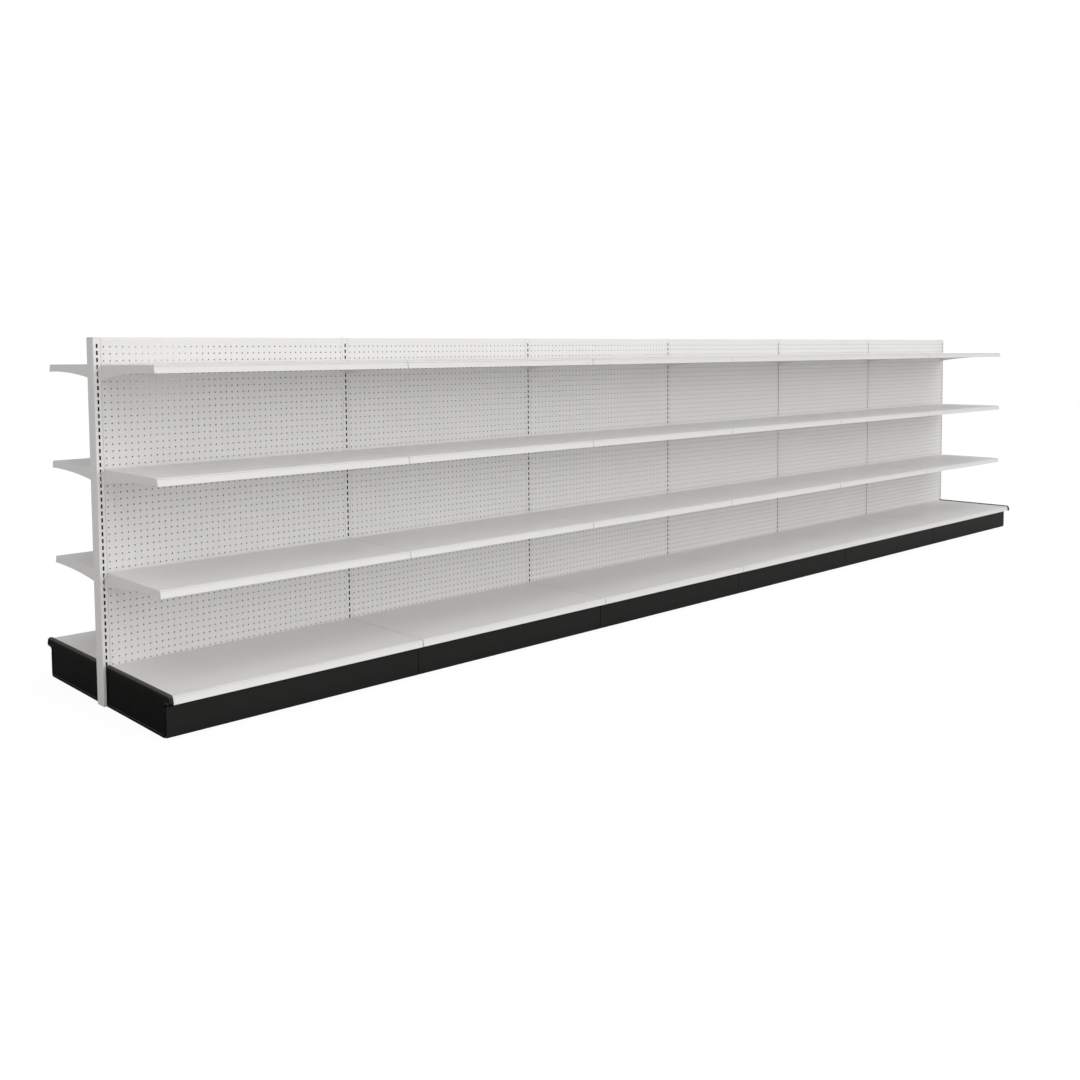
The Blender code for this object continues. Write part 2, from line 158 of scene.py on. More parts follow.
def bent(path, radius, steps=4):
    """Replace each inner corner by a quadratic curve that starts and ends radius from it."""
    path = np.asarray(path, float)
    corner = path[1:-1]
    radius = np.broadcast_to(np.asarray(radius, float), (len(corner),))[:, None]
    back = path[:-2] - corner
    ahead = path[2:] - corner
    back = corner + back / np.linalg.norm(back, axis=1)[:, None] * radius
    ahead = corner + ahead / np.linalg.norm(ahead, axis=1)[:, None] * radius
    t = np.linspace(0, 1, steps + 1)[None, :, None]
    curve = (1 - t) ** 2 * back[:, None] + 2 * t * (1 - t) * corner[:, None] + t**2 * ahead[:, None]
    return np.concatenate([path[:1], curve.reshape(-1, 2), path[-1:]])


def edge_normals(path, closed):
    """Left-hand mitre vector of each corner: the offset by one unit of both edges it joins."""
    if closed:
        before = path - np.roll(path, 1, axis=0)
        after = np.roll(path, -1, axis=0) - path
    else:
        step = np.diff(path, axis=0)
        before = np.concatenate([step[:1], step])
        after = np.concatenate([step, step[-1:]])
    before = before / np.linalg.norm(before, axis=1)[:, None]
    after = after / np.linalg.norm(after, axis=1)[:, None]
    left_before = np.stack([-before[:, 1], before[:, 0]], 1)
    left_after = np.stack([-after[:, 1], after[:, 0]], 1)
    share = 1 + np.sum(left_before * left_after, axis=1)
    return (left_before + left_after) / np.maximum(share, 0.3)[:, None]


def sheet(path, thickness):
    """Closed section of bent sheet: the path, and the path offset to its left by the thickness."""
    path = np.asarray(path, float)
    inner = path + edge_normals(path, False) * thickness
    return turned_left(np.concatenate([path, inner[::-1]]))


def inset(outline, depth):
    """A counter-clockwise outline moved inward by a depth, or by one depth per corner."""
    depth = np.broadcast_to(np.asarray(depth, float), (len(outline),))[:, None]
    return outline + edge_normals(outline, True) * depth


# --- surfaces -----------------------------------------------------------------
def ring_faces(rings, count):
    """Quads between neighbouring rings of count points, each ring closed on itself."""
    ring, k = np.meshgrid(np.arange(rings - 1), np.arange(count), indexing="ij")
    after = (k + 1) % count
    low = ring * count
    high = low + count
    return np.stack([low + k, low + after, high + after, high + k], axis=-1).reshape(-1, 4)


def lofted(rings):
    """A closed surface through rings of equal count, with a flat face on the first and last."""
    rings = np.asarray(rings)
    number, count, _ = rings.shape
    first = np.arange(count)[::-1][None]
    last = (np.arange(count) + (number - 1) * count)[None]
    return rings.reshape(-1, 3), [ring_faces(number, count), first, last]


def swept(outline, start, end, axis="X"):
    """A closed (a, b) outline carried from start to end along an axis."""
    outline = turned_left(np.asarray(outline, float))
    rings = np.stack([placed(outline, at, axis) for at in (start, end)])
    return facing_out(*lofted(rings))


def placed(outline, at, axis="X"):
    """Put an (a, b) outline at a place on an axis: (y, z) on X, (x, z) on Y, (x, y) on Z."""
    along = np.broadcast_to(np.asarray(at, float), (len(outline),))
    columns = {
        "X": (along, outline[:, 0], outline[:, 1]),
        "Y": (outline[:, 0], along, outline[:, 1]),
        "Z": (outline[:, 0], outline[:, 1], along),
    }
    return np.stack(columns[axis], 1)


def plate(outline, start, end, edge=0.0003):
    """A flat plate from start to end along X whose rims are eased by a small chamfer."""
    outline = turned_left(np.asarray(outline, float))
    small = inset(outline, edge)
    rings = [
        placed(small, start),
        placed(outline, start + edge),
        placed(outline, end - edge),
        placed(small, end),
    ]
    return facing_out(*lofted(np.stack(rings)))


def turned(profile, centre, sides):
    """A (radius, height) profile spun round an upright axis, closed by flat ends."""
    angle = np.linspace(0, 2 * math.pi, sides, endpoint=False)
    profile = np.asarray(profile, float)
    x = centre[0] + profile[:, :1] * np.cos(angle)
    y = centre[1] + profile[:, :1] * np.sin(angle)
    z = np.broadcast_to(profile[:, 1:], x.shape)
    return facing_out(*lofted(np.stack([x, y, z], -1)))


def facing_out(points, blocks):
    """Reverse every face when the signed volume under the faces comes out negative."""
    volume = 0.0
    for block in blocks:
        anchor = points[block[:, :1]]
        one = points[block[:, 1:-1]] - anchor
        two = points[block[:, 2:]] - anchor
        volume += np.sum(np.cross(one, two) * anchor)
    return points, blocks if volume > 0 else [block[:, ::-1] for block in blocks]


def joined(*surfaces):
    """Several surfaces as one list of points and faces."""
    points = []
    blocks = []
    count = 0
    for some, faces in surfaces:
        points.append(some)
        blocks += [block + count for block in faces]
        count += len(some)
    return np.concatenate(points), blocks


def perforated(path, lines_u, lines_v, centre_u, centre_v, holed, shape, depth, wrapped=False):
    """A sheet on a grid, with an eight-sided hole at the given centre in each marked cell.

    path(u, w) gives points across the sheet at distance u along it, on its outer face when w is
    zero and on its inner face when w is -depth; v goes straight up. A cell without a hole is one
    quad. With a hole it is a quad on each side and a triangle in each corner round it. A wrapped
    sheet closes on itself. Given back: points, outer faces, hole walls and inner faces, rims.
    """
    columns = len(lines_u) - 1 if wrapped else len(lines_u)
    rows = len(lines_v)
    hole_i, hole_j = np.nonzero(holed)
    hole_u = (centre_u[hole_i][:, None] + shape[:, 0]).ravel()
    hole_v = (centre_v[hole_j][:, None] + shape[:, 1]).ravel()
    grid_u = np.repeat(lines_u[:columns], rows)
    grid_v = np.tile(lines_v, columns)
    u = np.concatenate([grid_u, hole_u])
    v = np.concatenate([grid_v, hole_v])
    count = len(u)
    outer = np.column_stack([path(u, 0.0), v])
    inner = np.column_stack([path(u, -depth), v])

    def corner(i, j):
        """Number of the grid point on line i along and line j up."""
        return (i % columns) * rows + j

    i, j = np.nonzero(~holed)
    plain = np.stack([corner(i, j), corner(i + 1, j), corner(i + 1, j + 1), corner(i, j + 1)], 1)
    c = [
        corner(hole_i + 1, hole_j),
        corner(hole_i + 1, hole_j + 1),
        corner(hole_i, hole_j + 1),
        corner(hole_i, hole_j),
    ]
    ring = columns * rows + np.arange(len(hole_i))[:, None] * 8 + np.arange(8)
    h = [ring[:, k] for k in range(8)]
    sides = np.concatenate([
        np.stack([c[k], c[(k + 1) % 4], h[2 * k + 1], h[2 * k]], 1) for k in range(4)
    ])
    corners = np.concatenate([
        np.stack([c[(k + 1) % 4], h[(2 * k + 2) % 8], h[2 * k + 1]], 1) for k in range(4)
    ])
    following = np.roll(ring, -1, axis=1)
    walls = np.stack([ring, following, following + count, ring + count], -1).reshape(-1, 4)
    faces = [plain, sides, corners]
    mirrored = [block[:, ::-1] + count for block in faces]
    rims = []
    i = np.arange(columns if wrapped else columns - 1)
    for j, flip in ((0, False), (rows - 1, True)):
        here = corner(i, j)
        beside = corner(i + 1, j)
        rim = np.stack([here + count, beside + count, beside, here], 1)
        rims.append(rim[:, ::-1] if flip else rim)
    if not wrapped:
        j = np.arange(rows - 1)
        for i, flip in ((0, True), (columns - 1, False)):
            here = i * rows + j
            rim = np.stack([here + count, here + 1 + count, here + 1, here], 1)
            rims.append(rim[:, ::-1] if flip else rim)
    points = np.concatenate([outer, inner])
    return points, faces, [walls, *mirrored], rims


# --- meshes -------------------------------------------------------------------
def fill_mesh(name, points, blocks, indices=None):
    """Whole arrays into a mesh; a block holds faces with one corner count and one material."""
    mesh = bpy.data.meshes.new(name)
    corners = np.concatenate([block.ravel() for block in blocks])
    sizes = np.concatenate([np.full(len(block), block.shape[1]) for block in blocks])
    starts = np.concatenate([[0], np.cumsum(sizes)[:-1]])
    mesh.vertices.add(len(points))
    mesh.vertices.foreach_set("co", points.astype(np.float32).ravel())
    mesh.loops.add(len(corners))
    mesh.loops.foreach_set("vertex_index", corners.astype(np.int32))
    mesh.polygons.add(len(sizes))
    mesh.polygons.foreach_set("loop_start", starts.astype(np.int32))
    if indices is not None:
        paint = np.concatenate([np.full(len(b), k) for b, k in zip(blocks, indices)])
        mesh.polygons.foreach_set("material_index", paint.astype(np.int32))
    mesh.update(calc_edges=True)
    mesh.validate()
    return mesh


def add_piece(name, surface, finish, nodes, body=ROOT, indices=None, crease=32):
    """Make one named piece at the origin, with its finish, its body and the nodes it stands for."""
    points, blocks = surface
    mesh = fill_mesh(name, points, blocks, indices)
    for material in finish if isinstance(finish, (list, tuple)) else [finish]:
        mesh.materials.append(material)
    mesh.shade_smooth()
    mesh.set_sharp_from_angle(angle=math.radians(crease))
    obj = bpy.data.objects.new(name, mesh)
    bpy.context.scene.collection.objects.link(obj)
    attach(obj, body)
    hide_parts(*nodes)
    return obj


def on_side(surface, side, x=0.0, z=0.0):
    """Put a front-side surface in its bay; the back side is the front turned half round."""
    points, blocks = surface
    way = 1.0 if side == "front" else -1.0
    return points * (way, way, 1.0) + (x, 0.0, z), blocks


def in_mirror(surface):
    """The surface seen in a mirror across X, its faces reversed to stay outward."""
    points, blocks = surface
    return points * (-1.0, 1.0, 1.0), [block[:, ::-1] for block in blocks]


# --- sections of the pieces ---------------------------------------------------
def pan_path(rear, front, top, skirt):
    """Outer face of a shelf or deck pan, rear to front: rear flange, flat top, rounded brow,
    leaning front with a step for the ticket channel, and a return under it."""
    brow = front + LEAN
    base = top - TICKET_FACE
    path = [
        (rear, top - skirt),
        (rear, top),
        (brow - 0.0002, top),
        (brow - 0.0012, top - 0.0042),
        (brow + 0.0006, top - 0.0056),
        (front + 0.0016, base),
        (front + 0.0210, base),
        (front + 0.0210, base + 0.0080),
    ]
    return bent(path, [0.0015, 0.0026, 0.0006, 0.0006, 0.0014, 0.0014], 3)


def fence_pan(outer, front, start, end):
    """The pan's outer line carried along X as a sheet with a row of round fence holes behind the
    brow: distance along the line by distance along X, the inner face offset by the thickness."""
    inner = outer + edge_normals(outer, False) * SHEET
    distance = run_length(outer)
    flat = outer[:, 1] > outer[:, 1].max() - 1e-6
    row = np.interp(-(front + LEAN + FENCE_BACK), -outer[flat, 0], distance[flat])
    lines = np.sort(np.concatenate([distance, [row - FENCE_PITCH / 3, row + FENCE_PITCH / 3]]))
    across = (lines[:-1] + lines[1:]) / 2
    count = math.floor((end - start - 0.03) / FENCE_PITCH)
    along = (start + end) / 2 + FENCE_PITCH * (np.arange(count) - (count - 1) / 2)
    between = (along[:-1] + along[1:]) / 2
    ends = [start, along[0] - FENCE_PITCH / 2, along[-1] + FENCE_PITCH / 2, end]
    lines_x = np.concatenate([ends[:2], between, ends[2:]])
    holed = np.zeros((len(lines) - 1, len(lines_x) - 1), bool)
    holed[np.argmin(np.abs(across - row)), 1:-1] = True
    centres = np.concatenate([[0.0], along, [0.0]])

    def bend(u, w):
        """The pan's outer line, or its inner one, at distance u."""
        return points_along(outer if w == 0.0 else inner, distance, u)

    points, faces, inside, rims = perforated(
        bend, lines, lines_x, across, centres, holed, eight_sided(FENCE_RADIUS), SHEET
    )
    return facing_out(points[:, [2, 0, 1]], faces + inside + rims)


def stiffener(front, top, start, end):
    """Shallow U folded from sheet, under the fence holes of a pan."""
    middle = front + LEAN + FENCE_BACK
    high = top - SHEET - 0.0003
    low = high - 0.011
    rear = middle + 0.015
    ahead = middle - 0.013
    path = [(rear, high), (rear, low), (ahead, low), (ahead, high)]
    return swept(sheet(bent(path, 0.0018, 3), -SHEET), start, end)


def ticket_section(front, top):
    """C section of the ticket channel, laid on the leaning front by distance down it and out."""
    brow = np.array([front + LEAN, top])
    foot = np.array([front, top - TICKET_FACE])
    down = (foot - brow) / np.linalg.norm(foot - brow)
    out = np.array([down[1], -down[0]])
    length = np.linalg.norm(foot - brow)
    path = np.array([
        (0.0086, 0.0000),
        (0.0062, 0.0000),
        (0.0062, -0.0009),
        (length - 0.0004, -0.0009),
        (length - 0.0004, 0.0000),
        (length - 0.0026, 0.0000),
    ])
    curve = bent(path, 0.0004, 2)
    strip = sheet(curve, 0.0005)
    return turned_left(brow + strip[:, :1] * down + strip[:, 1:] * out)


def hook_edge():
    """Rear edge of a bracket from top to bottom: neck, hook over the slot, lug in the next."""
    tooth = HINGE_Y + POST_WALL / 2 + 0.0022
    back = tooth + 0.0020
    low = -HINGE_DROP
    lug = low + 0.001 - SLOT_PITCH
    return np.array([
        (HEEL_Y, low + NECK_RISE),
        (back - 0.0010, low + NECK_RISE),
        (back, low + 0.0083),
        (back, low - 0.0034),
        (back - 0.0006, low - 0.0040),
        (tooth, low - 0.0040),
        (tooth, low + 0.0006),
        (HEEL_Y, low + 0.0006),
        (HEEL_Y, lug + 0.0080),
        (tooth - 0.0010, lug + 0.0080),
        (tooth, lug + 0.0070),
        (tooth, lug + 0.0010),
        (tooth - 0.0010, lug),
        (HEEL_Y, lug),
    ])


def bracket_section(rear_edge):
    """Side view of a bracket below a shelf top at zero: rear edge, deep heel, thin toe.
    The lower edge rises from heel to toe with a power of the distance from the toe."""
    toe_y = SHELF_FRONT + 0.0026
    toe_z = -TICKET_FACE + 0.0014
    cut = 0.0030
    along = np.linspace(0, 1, 19)
    edge_y = HEEL_Y - cut + (toe_y - HEEL_Y + cut) * along
    edge_z = -BRACKET_DROP + (toe_z + BRACKET_DROP) * (1 - (1 - along) ** 2.4)
    heel = np.array([(HEEL_Y, -BRACKET_DROP + cut)])
    nose = np.array([
        (SHELF_FRONT + LEAN + 0.0014, -0.0046),
        (SHELF_FRONT + LEAN + 0.0022, -0.0006),
        (HEEL_Y - 0.0080, -0.0006),
    ])
    lower = np.stack([edge_y, edge_z], 1)
    return turned_left(np.concatenate([rear_edge, heel, lower, nose]))


def hooked_bracket(outer):
    """A bracket from its outer side at x inward, its hooks in its own plane."""
    cut_back = np.array([(HEEL_Y - 0.0080, -0.0050)])
    section = bracket_section(np.concatenate([cut_back, hook_edge()]))
    return plate(section, outer, outer + BRACKET_SHEET)


def inset_bracket(outer):
    """A bracket set in from its hooks: plate, flange flat on the post, and the hook tab."""
    section = bracket_section(np.array([(HEEL_Y, -HINGE_DROP - 0.0003)]))
    blade = plate(section, outer + END_INSET, outer + END_INSET + BRACKET_SHEET)
    fold = HEEL_Y - BRACKET_SHEET
    top = -HINGE_DROP - 0.0003
    low = -BRACKET_DROP + 0.0002
    flange = plate(
        [(fold, low), (HEEL_Y, low), (HEEL_Y, top), (fold, top)],
        outer, outer + END_INSET + BRACKET_SHEET / 2,
    )
    foot = -BRACKET_DROP + 0.0050
    neck = np.array([(fold, -HINGE_DROP + NECK_RISE)])
    tail = np.array([(HEEL_Y, foot), (fold, foot)])
    tab = plate(np.concatenate([neck, hook_edge(), tail]), outer + 0.0003, outer + 0.0023)
    return joined(blade, flange, tab)


# --- finishes -----------------------------------------------------------------
def new_group(name, inputs, outputs):
    """A shader node group with named sockets: (name, socket type, default)."""
    group = bpy.data.node_groups.new(name, "ShaderNodeTree")
    for label, kind, value in inputs:
        socket = group.interface.new_socket(name=label, in_out="INPUT", socket_type=kind)
        socket.default_value = value
    for label, kind in outputs:
        group.interface.new_socket(name=label, in_out="OUTPUT", socket_type=kind)
    entry = group.nodes.new("NodeGroupInput")
    leave = group.nodes.new("NodeGroupOutput")
    return group, entry, leave


def node(tree, kind, **values):
    """A new node with its settings."""
    made = tree.nodes.new(kind)
    for label, value in values.items():
        setattr(made, label, value)
    return made


def wire(tree, pairs):
    """A link for each (output, input) pair."""
    for source, target in pairs:
        tree.links.new(source, target)


def tone_drift_group():
    """Colour times 1 + amount x (slow noise - 0.5), so large panels are never one flat tone."""
    group, entry, leave = new_group(
        "tone_drift",
        [
            ("Colour", "NodeSocketColor", (0.8, 0.8, 0.8, 1.0)),
            ("Amount", "NodeSocketFloat", 0.05),
            ("Scale", "NodeSocketFloat", 3.0),
        ],
        [("Colour", "NodeSocketColor")],
    )
    place = node(group, "ShaderNodeTexCoord")
    slow = node(group, "ShaderNodeTexNoise")
    slow.inputs["Detail"].default_value = 3.0
    span = node(group, "ShaderNodeMath", operation="MULTIPLY_ADD")
    centre = node(group, "ShaderNodeMath", operation="SUBTRACT")
    centre.inputs[1].default_value = 0.5
    span.inputs[2].default_value = 1.0
    scale = node(group, "ShaderNodeVectorMath", operation="SCALE")
    wire(group, [
        (place.outputs["Object"], slow.inputs["Vector"]),
        (entry.outputs["Scale"], slow.inputs["Scale"]),
        (slow.outputs["Fac"], centre.inputs[0]),
        (centre.outputs[0], span.inputs[0]),
        (entry.outputs["Amount"], span.inputs[1]),
        (entry.outputs["Colour"], scale.inputs[0]),
        (span.outputs[0], scale.inputs["Scale"]),
        (scale.outputs[0], leave.inputs["Colour"]),
    ])
    return group


def coat_texture_group():
    """Orange peel of a sprayed or moulded skin: soft noise for height, and for gloss patches."""
    group, entry, leave = new_group(
        "coat_texture",
        [
            ("Grain Scale", "NodeSocketFloat", 900.0),
            ("Roughness", "NodeSocketFloat", 0.4),
            ("Gloss Drift", "NodeSocketFloat", 0.08),
        ],
        [("Height", "NodeSocketFloat"), ("Roughness", "NodeSocketFloat")],
    )
    place = node(group, "ShaderNodeTexCoord")
    grain = node(group, "ShaderNodeTexNoise")
    grain.inputs["Detail"].default_value = 2.0
    patch = node(group, "ShaderNodeTexNoise")
    patch.inputs["Scale"].default_value = 14.0
    patch.inputs["Detail"].default_value = 4.0
    centre = node(group, "ShaderNodeMath", operation="SUBTRACT")
    centre.inputs[1].default_value = 0.5
    drift = node(group, "ShaderNodeMath", operation="MULTIPLY_ADD")
    wire(group, [
        (place.outputs["Object"], grain.inputs["Vector"]),
        (place.outputs["Object"], patch.inputs["Vector"]),
        (entry.outputs["Grain Scale"], grain.inputs["Scale"]),
        (patch.outputs["Fac"], centre.inputs[0]),
        (centre.outputs[0], drift.inputs[0]),
        (entry.outputs["Gloss Drift"], drift.inputs[1]),
        (entry.outputs["Roughness"], drift.inputs[2]),
        (grain.outputs["Fac"], leave.inputs["Height"]),
        (drift.outputs[0], leave.inputs["Roughness"]),
    ])
    return group


def dust_and_highlight_group():
    """Mask of upward-facing faces: the normal's upward share times broken noise. Mixed in, it gives
    fine dust on the white coat and a painted highlight on the tops of the black covers.
    """
    group, entry, leave = new_group(
        "dust_and_painted_highlight",
        [("Amount", "NodeSocketFloat", 0.15), ("Scale", "NodeSocketFloat", 30.0)],
        [("Mask", "NodeSocketFloat")],
    )
    place = node(group, "ShaderNodeTexCoord")
    shape = node(group, "ShaderNodeNewGeometry")
    upward = node(group, "ShaderNodeSeparateXYZ")
    dust_and_highlight_noise = node(group, "ShaderNodeTexNoise")
    dust_and_highlight_noise.inputs["Detail"].default_value = 6.0
    faced = node(group, "ShaderNodeMath", operation="MULTIPLY", use_clamp=True)
    mask = node(group, "ShaderNodeMath", operation="MULTIPLY", use_clamp=True)
    wire(group, [
        (place.outputs["Object"], dust_and_highlight_noise.inputs["Vector"]),
        (entry.outputs["Scale"], dust_and_highlight_noise.inputs["Scale"]),
        (shape.outputs["Normal"], upward.inputs[0]),
        (upward.outputs["Z"], faced.inputs[0]),
        (dust_and_highlight_noise.outputs["Fac"], faced.inputs[1]),
        (faced.outputs[0], mask.inputs[0]),
        (entry.outputs["Amount"], mask.inputs[1]),
        (mask.outputs[0], leave.inputs["Mask"]),
    ])
    return group


TONE_DRIFT = tone_drift_group()
COAT_TEXTURE = coat_texture_group()
DUST_AND_HIGHLIGHT = dust_and_highlight_group()


def coated(name, colour, roughness, grain, bump, drift=0.04, gloss_drift=0.08, dust_and_highlight=0.0,
           dust_and_highlight_colour=(0.55, 0.53, 0.50), dust_and_highlight_scale=30.0, metallic=0.0, specular=0.5):
    """A painted, moulded or plated finish built from the shared groups."""
    material = bpy.data.materials.new(name)
    material.use_nodes = True
    tree = material.node_tree
    shader = tree.nodes["Principled BSDF"]
    shader.inputs["Metallic"].default_value = metallic
    shader.inputs["Specular IOR Level"].default_value = specular
    tone = node(tree, "ShaderNodeGroup", node_tree=TONE_DRIFT)
    tone.inputs["Colour"].default_value = (*colour, 1.0)
    tone.inputs["Amount"].default_value = drift
    texture = node(tree, "ShaderNodeGroup", node_tree=COAT_TEXTURE)
    texture.inputs["Grain Scale"].default_value = grain
    texture.inputs["Roughness"].default_value = roughness
    texture.inputs["Gloss Drift"].default_value = gloss_drift
    relief = node(tree, "ShaderNodeBump")
    relief.inputs["Strength"].default_value = bump
    relief.inputs["Distance"].default_value = 0.0004
    wire(tree, [
        (texture.outputs["Height"], relief.inputs["Height"]),
        (relief.outputs["Normal"], shader.inputs["Normal"]),
        (texture.outputs["Roughness"], shader.inputs["Roughness"]),
    ])
    # Up-facing faces mixed toward a second colour: real dust on the white coat, a painted highlight
    # on the black covers' rolled tops.
    if dust_and_highlight:
        dust_and_highlight_mask = node(tree, "ShaderNodeGroup", node_tree=DUST_AND_HIGHLIGHT)
        dust_and_highlight_mask.inputs["Amount"].default_value = dust_and_highlight
        dust_and_highlight_mask.inputs["Scale"].default_value = dust_and_highlight_scale
        mix = node(tree, "ShaderNodeMix", data_type="RGBA")
        mix.inputs["B"].default_value = (*dust_and_highlight_colour, 1.0)
        wire(tree, [
            (dust_and_highlight_mask.outputs["Mask"], mix.inputs["Factor"]),
            (tone.outputs["Colour"], mix.inputs["A"]),
            (mix.outputs["Result"], shader.inputs["Base Color"]),
        ])
    else:
        wire(tree, [(tone.outputs["Colour"], shader.inputs["Base Color"])])
    return material


WHITE_COAT = coated("white_powder_coat", (0.87, 0.866, 0.857), 0.42, 620.0, 0.16, dust_and_highlight=0.05)
TICKET_WHITE = coated("ticket_channel_white", (0.84, 0.837, 0.828), 0.34, 500.0, 0.03, drift=0.02)
BOARD_WHITE = coated("board_face_white", (0.87, 0.866, 0.857), 0.55, 420.0, 0.12, drift=0.05)
BOARD_CORE = coated("hardboard_core", (0.36, 0.33, 0.30), 0.85, 900.0, 0.35, drift=0.30)
BLACK_COAT = coated("black_powder_coat", (0.0115, 0.0112, 0.0107), 0.50, 800.0, 0.14, drift=0.20,
                    specular=0.20)
# The grey mixed onto its up-facing faces is a painted highlight along the covers' rolled top rims.
BLACK_MOULDED = coated("black_moulded_plastic", (0.0042, 0.0041, 0.0039), 0.52, 1300.0, 0.30,
                       drift=0.20, dust_and_highlight=1.0, dust_and_highlight_colour=(0.20, 0.196, 0.186), dust_and_highlight_scale=420.0,
                       specular=0.03)
# Inside of the tubes is bare steel; its near-black tone is painted shade in the hollow, so the
# slots read dark.
TUBE_INSIDE_SHADE = coated("tube_inside_painted_shade", (0.045, 0.044, 0.042), 0.70, 300.0, 0.20, drift=0.3)
ZINC = coated("zinc_plate", (0.56, 0.56, 0.54), 0.34, 300.0, 0.10, drift=0.15, metallic=1.0)
RUBBER = coated("foot_rubber", (0.02, 0.02, 0.02), 0.80, 700.0, 0.25, drift=0.2, specular=0.3)


# --- posts --------------------------------------------------------------------
def post_ring():
    """Plan of the tube: a rounded rectangle, with extra points beside the two slot columns."""
    half_x = POST_HALF - POST_CORNER
    half_y = FACE - POST_CORNER
    corners = [
        arc((half_x, -half_y), POST_CORNER, 270, 360, 4),
        arc((half_x, half_y), POST_CORNER, 0, 90, 4),
        np.array([(SLOT_SIDE, FACE), (-SLOT_SIDE, FACE)]),
        arc((-half_x, half_y), POST_CORNER, 90, 180, 4),
        arc((-half_x, -half_y), POST_CORNER, 180, 270, 4),
        np.array([(-SLOT_SIDE, -FACE), (SLOT_SIDE, -FACE)]),
    ]
    return np.concatenate(corners)


def slot_shape():
    """Eight corners of a slot, an upright rectangle with its corners cut off."""
    half_width = SLOT_WIDTH / 2
    half_height = SLOT_HEIGHT / 2
    narrow = half_width - SLOT_CUT
    short = half_height - SLOT_CUT
    return np.array([
        (half_width, -short), (half_width, short),
        (narrow, half_height), (-narrow, half_height),
        (-half_width, short), (-half_width, -short),
        (-narrow, -half_height), (narrow, -half_height),
    ])


def slotted_post(x):
    """The tube as a wrapped grid, a ring round and slot cells up, with slots front and back."""
    ring = post_ring()
    inner = inset(ring, POST_WALL)
    closed = np.concatenate([ring, ring[:1]])
    closed_inner = np.concatenate([inner, inner[:1]])
    distance = run_length(closed)

    def plan(u, w):
        """The tube's outer ring, or its inner one, at distance u round it."""
        return points_along(closed if w == 0.0 else closed_inner, distance, u) + (x, 0.0)

    first = SHELF_TOP[0] - SLOT_DROP
    below = math.floor((first - 0.05) / SLOT_PITCH)
    rim = HEIGHT - CAP_HEIGHT
    above = math.floor((rim - 0.012 - first) / SLOT_PITCH)
    centres = first + SLOT_PITCH * np.arange(-below, above + 1)
    last = (centres[-1] + SLOT_HEIGHT / 2 + rim) / 2
    lines = np.concatenate([[0.003], centres - SLOT_PITCH / 2, [last, rim]])
    middles = np.concatenate([[0.0], centres, [0.0]])
    holed = np.zeros((len(ring), len(lines) - 1), bool)
    middle = (closed[:-1] + closed[1:]) / 2
    faces = (np.abs(middle[:, 0]) < 1e-4) & (np.abs(middle[:, 1]) > FACE - 1e-4)
    holed[np.nonzero(faces)[0][:, None], np.arange(1, len(lines) - 2)] = True
    across = (distance[:-1] + distance[1:]) / 2
    points, outer, inside, rims = perforated(
        plan, distance, lines, across, middles, holed, slot_shape(), POST_WALL, wrapped=True
    )
    # Inner faces and slot walls get the painted shade of the tube's hollow; outer faces and rims
    # the white coat.
    indices = [0] * len(outer) + [1] * len(inside) + [0] * len(rims)
    return (points, outer + inside + rims), indices


def post_cap(x):
    """A lid on the tube: the plan outline drawn in along a quarter curve near the top."""
    ring = post_ring()
    rise = np.radians(np.array([0.0, 25.0, 50.0, 70.0, 85.0]))
    low = HEIGHT - CAP_HEIGHT + 0.0003
    rings = [placed(ring, low, "Z")]
    for angle in rise:
        depth = CAP_EASE * (1 - math.cos(angle))
        height = HEIGHT - CAP_EASE * (1 - math.sin(angle))
        rings.append(placed(inset(ring, depth), height, "Z"))
    points, blocks = facing_out(*lofted(np.stack(rings)))
    return points + (x, 0.0, 0.0), blocks


def build_posts():
    """A slotted tube and a cap at every post place."""
    for number, x in enumerate(POST_X):
        node_name = f"upright_{number + 1}"
        tube, indices = slotted_post(x)
        add_piece(f"post_{number + 1}", tube, [WHITE_COAT, TUBE_INSIDE_SHADE], [node_name],
                  indices=indices)
        add_piece(f"post_cap_{number + 1}", post_cap(x), WHITE_COAT, [node_name])


# --- base legs and levelling feet ---------------------------------------------
def leg_place(number):
    """Back of a leg's channel and the way it opens: centred on an inner post, inward at an end."""
    if number == 0:
        return POST_X[0] + LEG_AT_END, 1
    if number == BAYS:
        return POST_X[-1] - LEG_AT_END, -1
    return POST_X[number] - LEG_WIDTH / 2, 1


def build_base_legs():
    """A bent channel from the post to the kickplate, on a threaded foot with a lock nut."""
    reach = FACE + LEG_REACH
    top = DECK_HIGH.z - 0.0030
    for number in range(BAYS + 1):
        x, way = leg_place(number)
        rim = x + way * LEG_WIDTH
        path = [(rim, LEG_LOW), (x, LEG_LOW), (x, top), (rim, top)]
        section = sheet(bent(path, 0.004, 4), -LEG_SHEET * way)
        foot_x = x + way * FOOT_IN
        for side, sign in (("front", -1), ("back", 1)):
            start, end = sorted((sign * (FACE + 0.0002), sign * reach))
            centre = (foot_x, sign * (reach - 1.3 * PAD_RADIUS))
            stud = turned(STUD_PROFILE, centre, 16)
            nut = turned(NUT_PROFILE, centre, 6)
            for label, surface, finish in (
                ("base_leg", swept(section, start, end, "Y"), WHITE_COAT),
                ("foot_pad", turned(PAD_PROFILE, centre, 28), RUBBER),
                ("foot_stud", joined(stud, nut), ZINC),
            ):
                add_piece(f"{label}_{side}_{number + 1}", surface, finish,
                          [f"upright_{number + 1}"])


